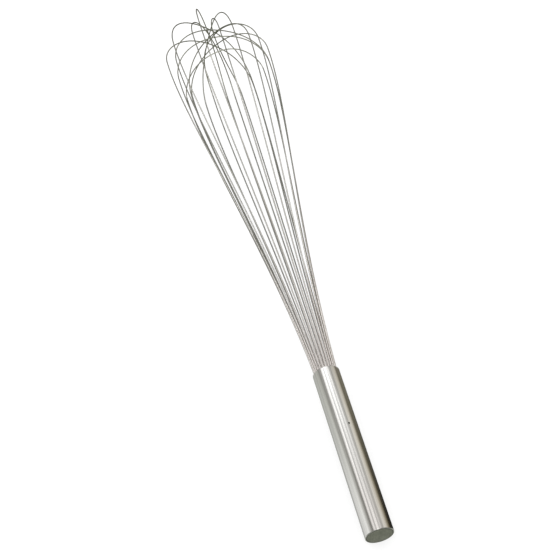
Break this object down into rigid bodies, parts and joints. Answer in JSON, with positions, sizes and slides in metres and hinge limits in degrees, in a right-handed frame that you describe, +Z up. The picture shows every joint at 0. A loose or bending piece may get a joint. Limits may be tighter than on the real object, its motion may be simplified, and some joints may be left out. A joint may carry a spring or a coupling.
{
  "type": "balloon whisk",
  "caption": "Long balloon whisk with thin spring wire loops that cross at a rounded head and a slim sealed tube handle, for whipping and mixing by hand.",
  "frame": {"origin": "on the table, under the middle of the whisk's box as it lies on its side", "axes": "+X along the whisk from the butt to the balloon, +Z up from the table, +Y to the left of +X; the whisk's own axis rises 4.45 degrees from +X"},
  "size_m": [0.6164, 0.1092, 0.1168],
  "materials": {
    "wire": "bright drawn stainless spring wire",
    "handle": "stainless tube polished lengthwise to a satin shine",
    "cap": "satin stainless disc with a ground weld round it",
    "seal": "cured grey epoxy",
    "inner_steel": "plain machined stainless, hidden"
  },
  "bodies": {
    "root": {"wire_loop_01": "wire", "wire_loop_02": "wire", "wire_loop_03": "wire", "wire_loop_04": "wire", "wire_loop_05": "wire", "wire_loop_06": "wire", "wire_loop_07": "wire", "wire_loop_08": "wire", "wire_loop_09": "wire", "wire_loop_10": "wire", "wire_loop_11": "wire", "wire_loop_12": "wire", "handle_tube": "handle", "end_cap": "cap", "nose_seal": "seal", "wire_core": "inner_steel", "seal_dam": "seal"}
  },
  "joints": []
}
